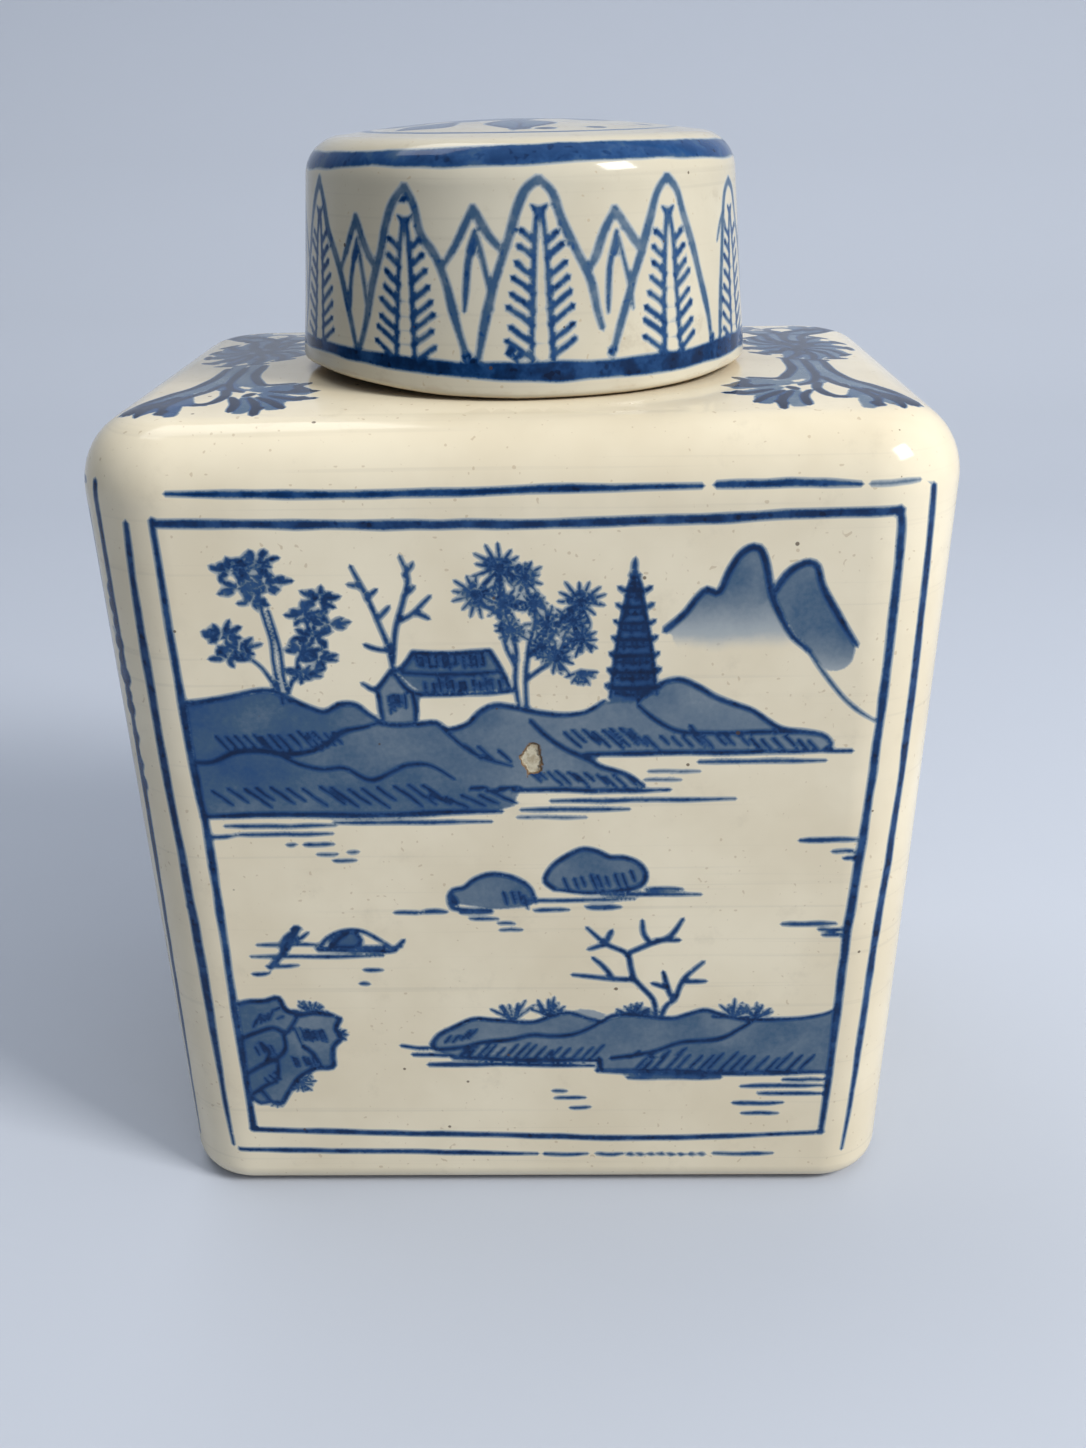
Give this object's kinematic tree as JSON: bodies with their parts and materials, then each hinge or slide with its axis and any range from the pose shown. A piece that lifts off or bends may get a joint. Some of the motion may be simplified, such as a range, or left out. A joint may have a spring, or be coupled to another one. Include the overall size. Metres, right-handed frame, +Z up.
{
  "type": "lidded jar",
  "caption": "Hollow rectangular ceramic jar with rounded corners, a round neck and a loose slip-over cap, painted in blue under a pale glaze.",
  "frame": {"origin": "centre of the underside, on the surface the jar stands on", "axes": "+Z up through the neck and the cap, front with the wide landscape panel towards -Y, width along X"},
  "size_m": [0.1094, 0.0808, 0.1464],
  "materials": {
    "jar_glaze": "gloss",
    "lid_glaze": "gloss"
  },
  "bodies": {
    "root": {"jar_body": "jar_glaze", "lid": "lid_glaze"}
  },
  "joints": []
}
